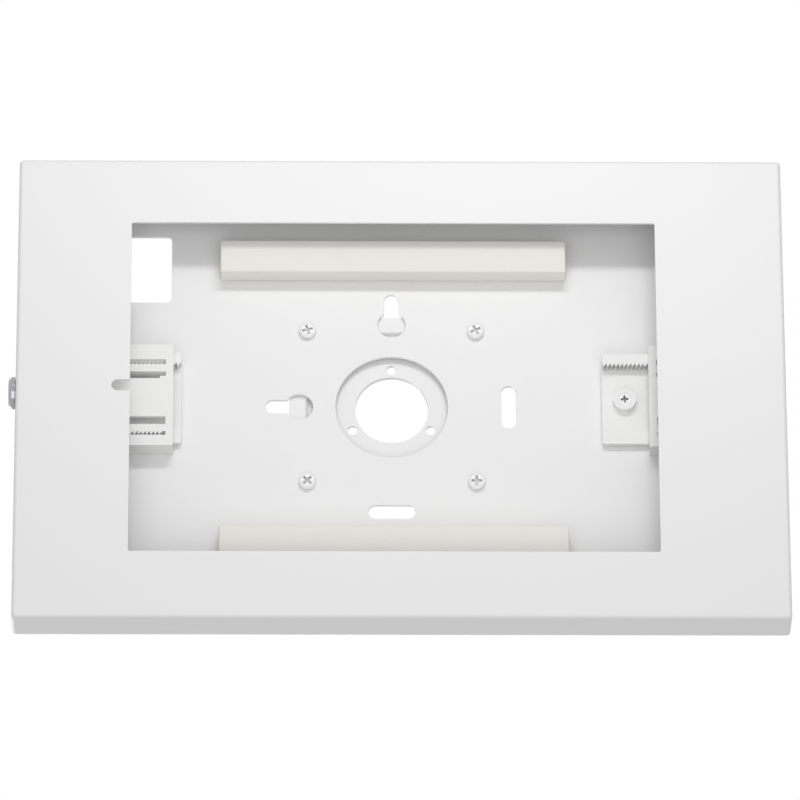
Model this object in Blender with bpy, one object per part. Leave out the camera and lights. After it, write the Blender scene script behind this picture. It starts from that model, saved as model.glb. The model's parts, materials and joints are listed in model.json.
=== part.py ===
"""Lockable steel wall mount for a tablet computer, modelled at real size.

The frame: +Z is up, the viewer stands on the -Y side and the wall is the plane
Y = 0. X = 0 and Z = 0 is the middle of the fixing pattern in the back tray.
"""
import math

import bmesh
import bpy
from mathutils import Matrix, Vector

MM = 0.001

# Clearance kept between pieces that seat on each other
FIT_GAP = 0.3 * MM

# Wall plate, a square pressing with a shallow round dish towards the wall
WALL_PLATE_SIZE = 91.0 * MM
WALL_PLATE_THICKNESS = 2.0 * MM
WALL_PLATE_CORNER = 4.0 * MM
DISH_DIAMETER = 77.0 * MM
DISH_DEPTH = 1.4 * MM
DISH_SLOPE = 1.5 * MM
PIPE_HOLE_DIAMETER = 32.5 * MM
STUD_CIRCLE_DIAMETER = 40.0 * MM
STUD_HOLE_DIAMETER = 4.4 * MM
STUD_HOLE_COUNT = 3

# Four screws on a square hold the tray to the wall plate
SCREW_SQUARE = 75.0 * MM
SCREW_DIAMETER = 4.0 * MM
SCREW_HEAD_DIAMETER = 7.5 * MM
SCREW_HEAD_HEIGHT = 2.2 * MM
SCREW_TIP_CLEARANCE = 0.6 * MM
SCREW_TURNS = {
    "upper_left": 15.0,
    "upper_right": 25.0,
    "lower_left": 45.0,
    "lower_right": 0.0,
}

# Back tray, folded from one sheet, with flanges that reach into the cover
TRAY_SHEET = 1.5 * MM
TRAY_DEPTH = 20.3 * MM
TRAY_BEND_RADIUS = 1.8 * MM
TRAY_LEFT_INSET = 4.8 * MM
TRAY_RIGHT_INSET = 10.4 * MM
TRAY_CORNER_NOTCH = 4.0 * MM
TRAY_HOLE_DIAMETER = 50.0 * MM
SLOT_DISTANCE = 52.0 * MM
SLOT_LENGTH = 21.0 * MM
SLOT_WIDTH = 6.6 * MM
KEYHOLE_DISTANCE = 41.2 * MM
KEYHOLE_DIAMETER = 12.5 * MM
KEYHOLE_REACH = 56.2 * MM
CABLE_HOLE_INSET = 17.7 * MM
CABLE_HOLE_RISE = 3.8 * MM
CABLE_HOLE_WIDTH = 32.0 * MM
CABLE_HOLE_HEIGHT = 33.2 * MM
CABLE_HOLE_CORNER = 2.2 * MM

# Front cover, a folded steel lid with the screen window
COVER_WIDTH = 341.0 * MM
COVER_HEIGHT = 227.0 * MM
COVER_DEPTH = 18.2 * MM
COVER_SHEET = 1.2 * MM
COVER_FOLD_RADIUS = 1.8 * MM
INSIDE_DEPTH = 21.2 * MM
COVER_CLEARANCE = 0.3 * MM
BEZEL_LEFT = 50.6 * MM
BEZEL_RIGHT = 57.0 * MM
BEZEL_HEIGHT = 32.0 * MM
WINDOW_OFFSET = 0.7 * MM
WINDOW_CORNER = 0.6 * MM
CAMERA_NOTCH_LENGTH = 8.2 * MM
CAMERA_NOTCH_WIDTH = 5.4 * MM

# Foam pads glued to the tray above and below the screen
FOAM_END_MARGIN = 39.5 * MM
FOAM_HEIGHT = 16.0 * MM
FOAM_THICKNESS = 9.2 * MM
FOAM_INSET = 10.5 * MM
FOAM_CORNER = 0.8 * MM

# Width adjusters: a toothed base on the tray and a jaw that slides along it
BASE_REACH = 23.3 * MM
BASE_LOCK_CLEARANCE = 4.4 * MM
BASE_LOW_EDGE = 19.6 * MM
BASE_HIGH_EDGE = 23.3 * MM
BASE_THICKNESS = 2.7 * MM
BASE_CORNER = 1.0 * MM
BASE_GROOVE_HEIGHT = 1.4 * MM
BASE_GROOVE_DEPTH = 1.2 * MM
RACK_HEIGHT = 7.3 * MM
RACK_WIDTH = 5.0 * MM
RACK_INSET = 0.2 * MM
TOOTH_PITCH = 1.83 * MM
TOOTH_HEIGHT = 1.5 * MM
TOOTH_LAND = 0.25 * MM
BOSS_DIAMETER = 10.4 * MM
BOSS_HEIGHT = 3.0 * MM
BOSS_FIRST = 10.0 * MM
BOSS_SPACING = 32.0 * MM
BOSS_RISE = 1.2 * MM
BASE_SCREW_DIAMETER = 3.0 * MM
BASE_SCREW_HEAD = 5.8 * MM
BASE_SCREW_LENGTH = 8.0 * MM
BASE_SCREW_TURN = 7.0
JAW_LENGTH = 30.5 * MM
JAW_REST_LEFT = 3.6 * MM
JAW_REST_RIGHT = 20.7 * MM
JAW_LOW_SIDE = 3.9 * MM
JAW_HIGH_SIDE = 2.7 * MM
JAW_SKIN = 1.6 * MM
JAW_BAR = 3.4 * MM
JAW_SLOT_LENGTH = 21.6 * MM
JAW_RELEASE_GAP = 1.0 * MM
PAWL_ARM = 3.7 * MM
PAWL_SIGHT_GAP = 2.4 * MM
PAWL_SPRING_GAP = 3.3 * MM
PAWL_STEP_LENGTH = 2.6 * MM
PAWL_STEP_HEIGHT = 1.2 * MM
COMB_START = 13.3 * MM
COMB_ARM = 3.5 * MM
COMB_SPRING_GAP = 3.8 * MM
STOP_THICKNESS = 3.0 * MM
STOP_HEIGHT = 9.0 * MM

# Two butt hinges carry the cover on the tray's right flange
HINGE_LENGTH = 40.0 * MM
HINGE_KNUCKLE = 18.0 * MM
HINGE_KNUCKLE_GAP = 0.4 * MM
HINGE_RADIUS = 2.5 * MM
HINGE_LEAF = 1.2 * MM
HINGE_LEAF_WIDTH = 11.5 * MM
HINGE_PIN_DIAMETER = 3.0 * MM
HINGE_PIN_HEAD = 4.4 * MM
HINGE_PIN_HEAD_HEIGHT = 1.0 * MM
HINGE_SETBACK = 2.3 * MM
HINGE_END_MARGIN = 18.5 * MM

# Cam lock in the cover's left side
LOCK_SETBACK = 9.1 * MM
LOCK_HEAD_DIAMETER = 15.0 * MM
LOCK_HEAD_HEIGHT = 3.2 * MM
LOCK_HEAD_CHAMFER = 1.3 * MM
LOCK_BODY_DIAMETER = 12.0 * MM
LOCK_BODY_LENGTH = 12.6 * MM
LOCK_CORE_DIAMETER = 8.0 * MM
LOCK_CORE_RECESS = 0.3 * MM
LOCK_TAIL_DIAMETER = 5.2 * MM
KEYWAY_WIDTH = 1.3 * MM
KEYWAY_LENGTH = 5.6 * MM
KEYWAY_DEPTH = 4.0 * MM
LOCK_NUT_FLATS = 14.5 * MM
LOCK_NUT_THICKNESS = 3.0 * MM
CAM_THICKNESS = 1.5 * MM
CAM_WIDTH = 7.0 * MM
CAM_REACH = 11.0 * MM
CAM_HUB_DIAMETER = 10.0 * MM
CAM_SCREW_DIAMETER = 2.6 * MM
CAM_SCREW_HEAD = 6.0 * MM
CAM_SCREW_HEAD_HEIGHT = 1.8 * MM
LOCK_NOTCH_WIDTH = 20.0 * MM
CATCH_WIDTH = 10.0 * MM
CATCH_SHEET = 1.5 * MM
CATCH_LIP_START = 6.5 * MM
CATCH_LIP_LENGTH = 15.0 * MM
CATCH_FOOT_LENGTH = 13.0 * MM
CATCH_CLEARANCE = 0.5 * MM

# Facets round a full turn
ROUND = 32
FINE_ROUND = 64

# Planes that follow from the sizes above, from the wall towards the viewer
DISH_FRONT_Y = -WALL_PLATE_THICKNESS
RIM_FRONT_Y = DISH_FRONT_Y - DISH_DEPTH
RIM_REAR_Y = RIM_FRONT_Y + WALL_PLATE_THICKNESS
TRAY_REAR_Y = RIM_FRONT_Y - FIT_GAP
FLOOR_Y = TRAY_REAR_Y - TRAY_SHEET
TRAY_FRONT_Y = TRAY_REAR_Y - TRAY_DEPTH
COVER_FRONT_Y = FLOOR_Y - INSIDE_DEPTH
COVER_REAR_Y = COVER_FRONT_Y + COVER_DEPTH
WINDOW_WIDTH = COVER_WIDTH - BEZEL_LEFT - BEZEL_RIGHT
WINDOW_HEIGHT = COVER_HEIGHT - 2 * BEZEL_HEIGHT
WINDOW_LEFT = WINDOW_OFFSET - WINDOW_WIDTH / 2
WINDOW_RIGHT = WINDOW_OFFSET + WINDOW_WIDTH / 2
COVER_LEFT = WINDOW_LEFT - BEZEL_LEFT
COVER_RIGHT = WINDOW_RIGHT + BEZEL_RIGHT
TRAY_LEFT = COVER_LEFT + TRAY_LEFT_INSET
TRAY_RIGHT = COVER_RIGHT - TRAY_RIGHT_INSET
TRAY_HALF_HEIGHT = COVER_HEIGHT / 2 - COVER_SHEET - COVER_CLEARANCE
HINGE_X = COVER_RIGHT - COVER_SHEET - FIT_GAP - HINGE_RADIUS
HINGE_Y = COVER_REAR_Y - HINGE_SETBACK
LOCK_Y = COVER_REAR_Y - LOCK_SETBACK
HINGE_DISTANCE = COVER_HEIGHT / 2 - HINGE_END_MARGIN - HINGE_LENGTH / 2
CABLE_HOLE_RIGHT = WINDOW_LEFT + CABLE_HOLE_INSET
CABLE_HOLE_TOP = WINDOW_HEIGHT / 2 + CABLE_HOLE_RISE
FOAM_DISTANCE = WINDOW_HEIGHT / 2 - FOAM_INSET
LOCK_END = LOCK_BODY_LENGTH + CAM_THICKNESS + CAM_SCREW_HEAD_HEIGHT + 3 * FIT_GAP
BASE_START = WINDOW_WIDTH / 2 - BASE_REACH
BASE_LENGTH = -COVER_LEFT - BASE_START - LOCK_END - BASE_LOCK_CLEARANCE
RACK_ROOT = BASE_HIGH_EDGE - RACK_WIDTH
RACK_TIP = RACK_ROOT - TOOTH_HEIGHT
GROOVE_MIDDLE = -FIT_GAP - BASE_THICKNESS / 2
JAW_FRONT = -RACK_HEIGHT - FIT_GAP - JAW_SKIN
JAW_SKIN_REAR = -RACK_HEIGHT - FIT_GAP
JAW_ARM_REAR = -2 * FIT_GAP - BASE_THICKNESS
JAW_LOW_INSIDE = -BASE_LOW_EDGE - FIT_GAP
JAW_HIGH_INSIDE = BASE_HIGH_EDGE + FIT_GAP
JAW_LOW = JAW_LOW_INSIDE - JAW_LOW_SIDE
JAW_HIGH = JAW_HIGH_INSIDE + JAW_HIGH_SIDE
JAW_SLOT_END = JAW_BAR + JAW_SLOT_LENGTH
PAWL_HIGH = RACK_TIP - FIT_GAP
PAWL_LOW = PAWL_HIGH - PAWL_ARM
COMB_ROOT = -COMB_START - COMB_ARM
COMB_TIP = COMB_ROOT - TOOTH_HEIGHT

# A cutter runs this far past the face that it opens
OVERRUN = 2.0 * MM


def clear_scene():
    """Remove whatever the scene holds."""
    for item in list(bpy.data.objects):
        bpy.data.objects.remove(item, do_unlink=True)


def finish(name, colour, roughness, metallic):
    """Return a Principled material."""
    material = bpy.data.materials.new(name)
    material.use_nodes = True
    shader = material.node_tree.nodes["Principled BSDF"]
    shader.inputs["Base Color"].default_value = (*colour, 1.0)
    shader.inputs["Roughness"].default_value = roughness
    shader.inputs["Metallic"].default_value = metallic
    material.diffuse_color = (*colour, 1.0)
    return material


# Outlines, each a list of (u, v) points in a plane


def arc(centre, radius, start, end, steps):
    """Return points on an arc, angles in degrees."""
    points = []
    for i in range(steps + 1):
        angle = math.radians(start + (end - start) * i / steps)
        points.append((centre[0] + radius * math.cos(angle), centre[1] + radius * math.sin(angle)))
    return points


def circle(centre, radius, steps=ROUND):
    """Return a full circle."""
    return arc(centre, radius, 0.0, 360.0, steps)[:-1]


def rounded_rectangle(low, high, radius, steps=4):
    """Return a rectangle between two corners, with round corners."""
    (u0, v0), (u1, v1) = low, high
    points = arc((u1 - radius, v0 + radius), radius, -90.0, 0.0, steps)
    points += arc((u1 - radius, v1 - radius), radius, 0.0, 90.0, steps)
    points += arc((u0 + radius, v1 - radius), radius, 90.0, 180.0, steps)
    points += arc((u0 + radius, v0 + radius), radius, 180.0, 270.0, steps)
    return points


def turn_outline(points, degrees):
    """Turn an outline about the frame's middle."""
    angle = math.radians(degrees)
    c, s = math.cos(angle), math.sin(angle)
    return [(u * c - v * s, u * s + v * c) for u, v in points]


def slot(distance, length, width):
    """Return a slot above the middle, lying across the vertical."""
    radius = width / 2
    half = length / 2 - radius
    points = arc((half, distance), radius, -90.0, 90.0, ROUND // 4)
    points += arc((-half, distance), radius, 90.0, 270.0, ROUND // 4)
    return points


def keyhole(distance, diameter, reach, width):
    """Return a keyhole above the middle, its narrow end outwards."""
    radius = diameter / 2
    half = width / 2
    join = math.degrees(math.asin(half / radius))
    points = arc((0.0, reach - half), half, 0.0, 180.0, ROUND // 4)
    points += arc((0.0, distance), radius, 90.0 + join, 450.0 - join, ROUND)
    return points


# Solids


def new_object(name, bm, material):
    """Turn a bmesh into an object that faces outwards."""
    bmesh.ops.recalc_face_normals(bm, faces=bm.faces)
    mesh = bpy.data.meshes.new(name)
    bm.to_mesh(mesh)
    bm.free()
    piece = bpy.data.objects.new(name, mesh)
    bpy.context.scene.collection.objects.link(piece)
    if material is not None:
        mesh.materials.append(material)
    return piece


def add_prism(bm, outline, axis, near, far):
    """Extrude an outline along X, Y or Z between two levels."""
    order = {"X": (2, 0, 1), "Y": (0, 2, 1), "Z": (0, 1, 2)}[axis]
    face_points = []
    for u, v in outline:
        values = (u, v, near)
        face_points.append(bm.verts.new([values[i] for i in order]))
    cap = bm.faces.new(face_points)
    step = Vector((far - near) * (1.0 if letter == axis else 0.0) for letter in "XYZ")
    extruded = bmesh.ops.extrude_face_region(bm, geom=[cap], use_keep_orig=True)
    moved = [item for item in extruded["geom"] if isinstance(item, bmesh.types.BMVert)]
    bmesh.ops.translate(bm, verts=moved, vec=step)


def prism(name, outlines, axis, near, far, material=None):
    """Make one object of prisms that share their two levels."""
    bm = bmesh.new()
    for outline in outlines:
        add_prism(bm, outline, axis, near, far)
    return new_object(name, bm, material)


def turned(name, profile, material=None, steps=ROUND):
    """Spin a profile of (radius, height) points about the local Z axis."""
    bm = bmesh.new()
    points = [bm.verts.new((radius, 0.0, height)) for radius, height in profile]
    edges = [bm.edges.new(pair) for pair in zip(points, points[1:] + points[:1])]
    on_axis = [edge for edge in edges if all(v.co.x == 0.0 for v in edge.verts)]
    for edge in on_axis:
        edges.remove(edge)
        bm.edges.remove(edge)
    geometry = points + edges
    bmesh.ops.spin(bm, geom=geometry, axis=(0, 0, 1), angle=2 * math.pi, steps=steps)
    bmesh.ops.remove_doubles(bm, verts=bm.verts, dist=0.00001)
    return new_object(name, bm, material)


def folded_box(name, low, high, radius, segments, open_side=0.0, material=None):
    """Make a block whose front and side edges are rounded as folds."""
    bm = bmesh.new()
    size = Vector(high) - Vector(low)
    middle = (Vector(high) + Vector(low)) / 2
    place = Matrix.Translation(middle) @ Matrix.Diagonal((*size, 1.0))
    bmesh.ops.create_cube(bm, size=1.0, matrix=place)
    flat_y = high[1] if open_side > 0 else low[1]
    folds = [e for e in bm.edges if not all(abs(v.co.y - flat_y) < 1e-7 for v in e.verts)]
    bmesh.ops.bevel(bm, geom=folds, offset=radius, segments=segments, profile=0.5, affect="EDGES")
    return new_object(name, bm, material)


def combine(piece, tool, operation="DIFFERENCE"):
    """Cut a piece with a tool, or join the tool to it."""
    tool.hide_render = True
    tool.display_type = "WIRE"
    modifier = piece.modifiers.new(tool.name, "BOOLEAN")
    modifier.operation = operation
    modifier.solver = "EXACT"
    modifier.object = tool


def smooth(piece, degrees=35.0):
    """Shade round faces smooth and keep the edges sharp."""
    piece.data.shade_smooth()
    piece.data.set_sharp_from_angle(angle=math.radians(degrees))


def empty(name, location):
    """Add a frame that moving pieces hang from."""
    frame = bpy.data.objects.new(name, None)
    frame.location = location
    bpy.context.scene.collection.objects.link(frame)
    return frame


def hang(piece, frame):
    """Parent a piece, or a cutter, to a frame and keep its place."""
    piece.parent = frame
    piece.matrix_parent_inverse = Matrix.Translation(-frame.location)


# Sub-parts


def wall_plate(steel):
    """Model the dished square plate that is screwed to the wall."""
    half = WALL_PLATE_SIZE / 2
    outline = rounded_rectangle((-half, -half), (half, half), WALL_PLATE_CORNER)
    plate = prism("wall_plate", [outline], "Y", RIM_FRONT_Y, RIM_REAR_Y, steel)
    outer = DISH_DIAMETER / 2
    floor = outer - DISH_SLOPE
    back = turned("wall_plate_dish_back", [
        (0.0, RIM_REAR_Y - WALL_PLATE_THICKNESS / 2),
        (outer + DISH_SLOPE, RIM_REAR_Y - WALL_PLATE_THICKNESS / 2),
        (outer + DISH_SLOPE, RIM_REAR_Y),
        (outer, 0.0),
        (0.0, 0.0),
    ], steps=FINE_ROUND)
    recess = turned("wall_plate_dish_recess", [
        (0.0, RIM_FRONT_Y - OVERRUN),
        (outer, RIM_FRONT_Y - OVERRUN),
        (outer, RIM_FRONT_Y),
        (floor, DISH_FRONT_Y),
        (0.0, DISH_FRONT_Y),
    ], steps=FINE_ROUND)
    for tool in (back, recess):
        tool.rotation_euler = (-math.pi / 2, 0.0, 0.0)
    combine(plate, back, "UNION")
    combine(plate, recess)
    holes = [circle((0.0, 0.0), PIPE_HOLE_DIAMETER / 2, FINE_ROUND)]
    for i in range(STUD_HOLE_COUNT):
        centre = turn_outline([(0.0, STUD_CIRCLE_DIAMETER / 2)], 360.0 * i / STUD_HOLE_COUNT)[0]
        holes.append(circle(centre, STUD_HOLE_DIAMETER / 2, ROUND // 2))
    combine(plate, prism("wall_plate_holes", holes, "Y", RIM_FRONT_Y - OVERRUN, OVERRUN))
    taps = screw_holes("wall_plate_taps")
    combine(plate, taps)
    smooth(plate)


def screw_places():
    """Return the four corners of the screw square by name."""
    half = SCREW_SQUARE / 2
    return {
        "upper_left": (-half, half),
        "upper_right": (half, half),
        "lower_left": (-half, -half),
        "lower_right": (half, -half),
    }


def screw_holes(name):
    """Return a cutter for the four screws' holes."""
    radius = SCREW_DIAMETER / 2 + FIT_GAP
    outlines = [circle(place, radius, ROUND // 2) for place in screw_places().values()]
    return prism(name, outlines, "Y", FLOOR_Y - OVERRUN, OVERRUN)


def cross_recess(name, width, length, top, depth):
    """Return a cutter for a cross-shaped driver recess."""
    w, r = width / 2, length / 2
    outline = [(r, -w), (r, w), (w, w), (w, r), (-w, r), (-w, w)]
    outline += [(-r, w), (-r, -w), (-w, -w), (-w, -r), (w, -r), (w, -w)]
    return prism(name, [outline], "Z", top - depth, top + OVERRUN)


def pan_head_profile(head, height, shank, length):
    """Return the outline of a pan head screw, its seat at height zero."""
    radius = head / 2
    return [
        (0.0, -length),
        (shank / 2 - 0.3 * MM, -length),
        (shank / 2, -length + 0.5 * MM),
        (shank / 2, 0.0),
        (radius, 0.0),
        (radius, height * 0.5),
        (radius * 0.95, height * 0.78),
        (radius * 0.84, height * 0.94),
        (radius * 0.66, height),
        (0.0, height),
    ]


def tray_screws(steel):
    """Model the four pan head screws through the tray into the wall plate."""
    seat = FLOOR_Y - FIT_GAP
    length = -SCREW_TIP_CLEARANCE - seat
    profile = pan_head_profile(SCREW_HEAD_DIAMETER, SCREW_HEAD_HEIGHT, SCREW_DIAMETER, length)
    for corner, (x, z) in screw_places().items():
        screw = turned("tray_screw_" + corner, profile, steel, ROUND - 8)
        recess = cross_recess("tray_recess_" + corner, 1.2 * MM, 4.8 * MM, SCREW_HEAD_HEIGHT, 1.6 * MM)
        for item in (screw, recess):
            item.rotation_mode = "YXZ"
            item.location = (x, seat, z)
            item.rotation_euler = (math.pi / 2, 0.0, 0.0)
        recess.matrix_world = screw_matrix((x, seat, z), SCREW_TURNS[corner])
        combine(screw, recess)
        smooth(screw)


def screw_matrix(location, degrees):
    """Return the place of a tool that faces the viewer, turned about its own axis."""
    facing = Matrix.Rotation(math.pi / 2, 4, "X")
    spin = Matrix.Rotation(math.radians(degrees), 4, "Z")
    return Matrix.Translation(location) @ facing @ spin


def back_tray(steel):
    """Model the folded tray with its holes, notches and flanges."""
    low = (TRAY_LEFT, TRAY_FRONT_Y, -TRAY_HALF_HEIGHT)
    high = (TRAY_RIGHT, TRAY_REAR_Y, TRAY_HALF_HEIGHT)
    tray = folded_box("back_tray", low, high, TRAY_BEND_RADIUS, 3, -1.0, steel)
    inner_low = (low[0] + TRAY_SHEET, low[1] - OVERRUN, low[2] + TRAY_SHEET)
    inner_high = (high[0] - TRAY_SHEET, FLOOR_Y, high[2] - TRAY_SHEET)
    inner_radius = TRAY_BEND_RADIUS - TRAY_SHEET
    combine(tray, folded_box("tray_inside", inner_low, inner_high, inner_radius, 2, -1.0))
    combine(tray, prism("tray_corners", corner_notches(low, high), "Y", low[1] - OVERRUN, OVERRUN))
    holes = [
        circle((0.0, 0.0), TRAY_HOLE_DIAMETER / 2, FINE_ROUND),
        keyhole(KEYHOLE_DISTANCE, KEYHOLE_DIAMETER, KEYHOLE_REACH, SLOT_WIDTH),
        turn_outline(keyhole(KEYHOLE_DISTANCE, KEYHOLE_DIAMETER, KEYHOLE_REACH, SLOT_WIDTH), 90.0),
        turn_outline(slot(SLOT_DISTANCE, SLOT_LENGTH, SLOT_WIDTH), 180.0),
        turn_outline(slot(SLOT_DISTANCE, SLOT_LENGTH, SLOT_WIDTH), 270.0),
        rounded_rectangle(
            (CABLE_HOLE_RIGHT - CABLE_HOLE_WIDTH, CABLE_HOLE_TOP - CABLE_HOLE_HEIGHT),
            (CABLE_HOLE_RIGHT, CABLE_HOLE_TOP),
            CABLE_HOLE_CORNER,
        ),
    ]
    base_hole = BASE_SCREW_DIAMETER / 2 + FIT_GAP
    for side in (-1.0, 1.0):
        for place in boss_places():
            centre = (side * (BASE_START + place), BOSS_RISE)
            holes.append(circle(centre, base_hole, ROUND // 2))
    combine(tray, prism("tray_holes", holes, "Y", FLOOR_Y - OVERRUN, OVERRUN))
    combine(tray, screw_holes("tray_screw_holes"))
    notch = LOCK_NOTCH_WIDTH / 2
    outline = arc((LOCK_Y, 0.0), notch, -90.0, 90.0, ROUND // 2)
    outline += [(TRAY_FRONT_Y - OVERRUN, notch), (TRAY_FRONT_Y - OVERRUN, -notch)]
    left = TRAY_LEFT - OVERRUN
    combine(tray, prism("tray_lock_notch", [outline], "X", left, TRAY_LEFT + TRAY_SHEET + OVERRUN))
    smooth(tray)


def corner_notches(low, high):
    """Return the four squares cut from the tray's corners so that it can fold."""
    outlines = []
    for x, inward_x in ((low[0], 1.0), (high[0], -1.0)):
        for z, inward_z in ((low[2], 1.0), (high[2], -1.0)):
            u = sorted((x - inward_x * OVERRUN, x + inward_x * TRAY_CORNER_NOTCH))
            v = sorted((z - inward_z * OVERRUN, z + inward_z * TRAY_CORNER_NOTCH))
            outlines.append([(u[0], v[0]), (u[1], v[0]), (u[1], v[1]), (u[0], v[1])])
    return outlines


def front_cover(steel, frame):
    """Model the folded lid with the window, the camera notch and the lock hole."""
    half = COVER_HEIGHT / 2
    low = (COVER_LEFT, COVER_FRONT_Y, -half)
    high = (COVER_RIGHT, COVER_REAR_Y, half)
    cover = folded_box("front_cover", low, high, COVER_FOLD_RADIUS, 3, 1.0, steel)
    inner_low = tuple(value + COVER_SHEET for value in low)
    inner_high = (high[0] - COVER_SHEET, high[1] + OVERRUN, high[2] - COVER_SHEET)
    inner_radius = COVER_FOLD_RADIUS - COVER_SHEET
    inside = folded_box("cover_inside", inner_low, inner_high, inner_radius, 1, 1.0)
    upper = WINDOW_HEIGHT / 2
    pane = rounded_rectangle((WINDOW_LEFT, -upper), (WINDOW_RIGHT, upper), WINDOW_CORNER)
    notch_radius = CAMERA_NOTCH_WIDTH / 2
    notch_end = WINDOW_LEFT - CAMERA_NOTCH_LENGTH + notch_radius
    notch = arc((notch_end, 0.0), notch_radius, 90.0, 270.0, ROUND // 4)
    notch += [(WINDOW_LEFT + OVERRUN, -notch_radius), (WINDOW_LEFT + OVERRUN, notch_radius)]
    near = COVER_FRONT_Y - OVERRUN
    far = COVER_FRONT_Y + COVER_SHEET + OVERRUN
    lock_hole = circle((LOCK_Y, 0.0), LOCK_BODY_DIAMETER / 2 + FIT_GAP)
    tools = [
        inside,
        prism("cover_window", [pane], "Y", near, far),
        prism("cover_notch", [notch], "Y", near, far),
        prism("cover_lock_hole", [lock_hole], "X", COVER_LEFT - OVERRUN, COVER_LEFT + COVER_SHEET + OVERRUN),
    ]
    for tool in tools:
        combine(cover, tool)
        hang(tool, frame)
    hang(cover, frame)
    smooth(cover)


def foam_pads(foam):
    """Model the two foam strips that press on the tablet's back."""
    left = WINDOW_LEFT + FOAM_END_MARGIN
    right = WINDOW_RIGHT - FOAM_END_MARGIN
    for name, side in (("foam_pad_upper", 1.0), ("foam_pad_lower", -1.0)):
        middle = side * FOAM_DISTANCE
        low = (left, middle - FOAM_HEIGHT / 2)
        high = (right, middle + FOAM_HEIGHT / 2)
        outline = rounded_rectangle(low, high, FOAM_CORNER)
        rear = FLOOR_Y - FIT_GAP
        pad = prism(name, [outline], "Y", rear - FOAM_THICKNESS, rear, foam)
        smooth(pad)


def boss_places():
    """Return the bosses' distances from the base's inner end."""
    return (BOSS_FIRST, BOSS_FIRST + BOSS_SPACING)


def outwards(side, outline):
    """Lay an outline that is measured outwards on the left or the right side."""
    direction = -1.0 if side == "left" else 1.0
    return [(direction * u, v) for u, v in outline]


def box_outline(low, high):
    """Return a plain rectangle between two corners."""
    (u0, v0), (u1, v1) = low, high
    return [(u0, v0), (u1, v0), (u1, v1), (u0, v1)]


def saw_teeth(start, end, root):
    """Return the points of saw teeth that hang from a root line."""
    points = []
    count = int((end - start - TOOTH_LAND) / TOOTH_PITCH)
    for i in range(count):
        foot = start + TOOTH_LAND + i * TOOTH_PITCH
        points.append((foot, root))
        points.append((foot, root - TOOTH_HEIGHT))
        points.append((foot + TOOTH_LAND, root - TOOTH_HEIGHT))
    points.append((start + TOOTH_LAND + count * TOOTH_PITCH, root))
    return points


def rack_outline(start, end):
    """Return the toothed rail's outline, its saw teeth along the lower side."""
    top = BASE_HIGH_EDGE - RACK_INSET
    outline = [(start, top), (start, RACK_ROOT)]
    outline += saw_teeth(start, end, RACK_ROOT)
    outline += [(end, RACK_ROOT), (end, top)]
    return outline


def adjuster_base(side, plastic):
    """Model a base with its rack, guide grooves and two bosses, measured from its inner end.

    The teeth lean the same way on both sides, because one moulding serves both.
    """
    direction = -1.0 if side == "left" else 1.0
    name = "adjuster_base_" + side
    plate_front = -FIT_GAP - BASE_THICKNESS
    inside = plate_front + BASE_THICKNESS / 2
    plate = rounded_rectangle((0.0, -BASE_LOW_EDGE), (BASE_LENGTH, BASE_HIGH_EDGE), BASE_CORNER)
    base = prism(name, [outwards(side, plate)], "Y", plate_front, -FIT_GAP, plastic)
    left_end, right_end = sorted((0.0, direction * BASE_LENGTH))
    rail = rack_outline(left_end + RACK_INSET, right_end - RACK_INSET)
    rack = prism(name + "_rack", [rail], "Y", -RACK_HEIGHT, inside)
    centres = outwards(side, [(place, BOSS_RISE) for place in boss_places()])
    discs = [circle(centre, BOSS_DIAMETER / 2) for centre in centres]
    boss_front = plate_front - BOSS_HEIGHT
    bosses = prism(name + "_bosses", discs, "Y", boss_front, inside)
    shanks = [circle(centre, BASE_SCREW_DIAMETER / 2 + FIT_GAP, ROUND // 2) for centre in centres]
    bores = prism(name + "_bores", shanks, "Y", boss_front - OVERRUN, OVERRUN)
    sinks = countersinks(name + "_sinks", centres, boss_front)
    sections = guide_outlines(BASE_GROOVE_HEIGHT, 0.0, OVERRUN)
    grooves = prism(name + "_grooves", sections, "X", left_end - OVERRUN, right_end + OVERRUN)
    combine(base, rack, "UNION")
    combine(base, bosses, "UNION")
    combine(base, bores)
    combine(base, sinks)
    combine(base, grooves)
    for item in (base, rack, bosses, bores, sinks, grooves):
        item.location = (direction * BASE_START, FLOOR_Y, 0.0)
    smooth(base)


def guide_outlines(height, clearance, overlap):
    """Return the sections of the groove or the tongue at a base's two long edges."""
    near = GROOVE_MIDDLE - height / 2
    far = GROOVE_MIDDLE + height / 2
    depth = BASE_GROOVE_DEPTH - clearance
    low = box_outline((near, -BASE_LOW_EDGE - overlap), (far, -BASE_LOW_EDGE + depth))
    high = box_outline((near, BASE_HIGH_EDGE - depth), (far, BASE_HIGH_EDGE + overlap))
    return [low, high]


def sink_profile(clearance):
    """Return the radius and depth points of a flat screw head with its clearance."""
    wide = BASE_SCREW_HEAD / 2 + clearance
    narrow = BASE_SCREW_DIAMETER / 2
    return wide, narrow, wide - narrow


def countersinks(name, centres, front):
    """Return a cutter with one cone for each flat screw head."""
    wide, narrow, depth = sink_profile(FIT_GAP)
    bm = bmesh.new()
    for x, z in centres:
        place = Matrix.Translation((x, front + depth / 2, z)) @ Matrix.Rotation(math.pi / 2, 4, "X")
        bmesh.ops.create_cone(
            bm, cap_ends=True, segments=ROUND - 8, radius1=narrow, radius2=wide, depth=depth, matrix=place
        )
    for face in list(bm.faces):
        if face.normal.y < -0.9:
            grown = bmesh.ops.extrude_face_region(bm, geom=[face])
            moved = [item for item in grown["geom"] if isinstance(item, bmesh.types.BMVert)]
            bmesh.ops.translate(bm, verts=moved, vec=(0.0, -OVERRUN, 0.0))
            bmesh.ops.delete(bm, geom=[face], context="FACES_ONLY")
    return new_object(name, bm, None)


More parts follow.
